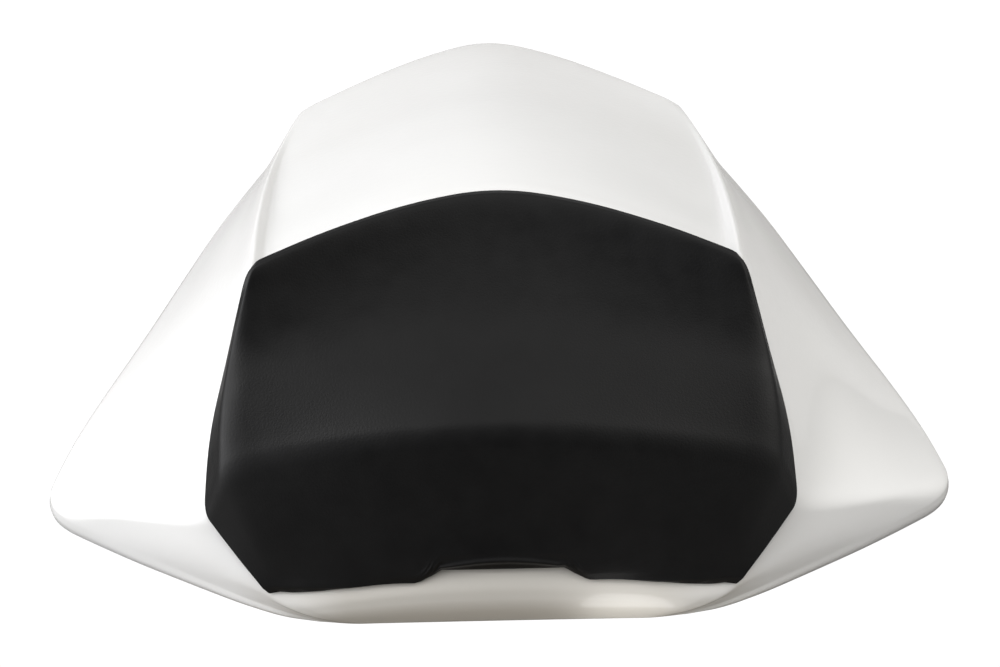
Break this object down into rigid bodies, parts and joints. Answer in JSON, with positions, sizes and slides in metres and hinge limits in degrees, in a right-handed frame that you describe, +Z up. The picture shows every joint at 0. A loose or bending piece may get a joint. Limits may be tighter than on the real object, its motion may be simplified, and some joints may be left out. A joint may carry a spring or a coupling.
{
  "type": "motorbike seat cowl",
  "caption": "White gloss tail cowl with side wings that replaces the pillion seat, a black padded back bolster, and a base plate with striker, hooks and rubber stoppers underneath.",
  "frame": {"origin": "middle of the rectangle the cowl covers, on the plane of its lower rim and stoppers", "axes": "+X to the rider's right, +Y to the rear of the bike, +Z up; the padded face looks towards -Y"},
  "size_m": [0.3322, 0.3202, 0.1047],
  "materials": {
    "shell_paint": "gloss white paint over a moulded shell",
    "pad_vinyl": "satin black vinyl with a fine grain",
    "foam_tape": "matt foam tape",
    "plate_plastic": "matt black moulded plastic",
    "zinc_steel": "zinc plated",
    "bright_steel": "bright plated rod",
    "stopper_rubber": "matt black rubber",
    "felt": "black felt strip"
  },
  "bodies": {
    "root": {"cowl_shell": "shell_paint", "back_pad": "pad_vinyl", "base_plate": "plate_plastic", "base_screws": "zinc_steel", "striker_plate": "zinc_steel", "striker_loop": "bright_steel", "striker_bolts": "zinc_steel", "striker_nuts": "zinc_steel", "hook_left": "zinc_steel", "hook_right": "zinc_steel", "hook_screws": "zinc_steel", "tape_upper": "foam_tape", "tape_middle": "foam_tape", "tape_lower_left": "foam_tape", "tape_lower_right": "foam_tape", "tape_left": "foam_tape", "tape_right": "foam_tape", "stopper_front_left": "stopper_rubber", "stopper_front_right": "stopper_rubber", "stopper_rear_left": "stopper_rubber", "stopper_rear_right": "stopper_rubber", "edge_seal_left": "felt", "edge_seal_right": "felt"}
  },
  "joints": []
}
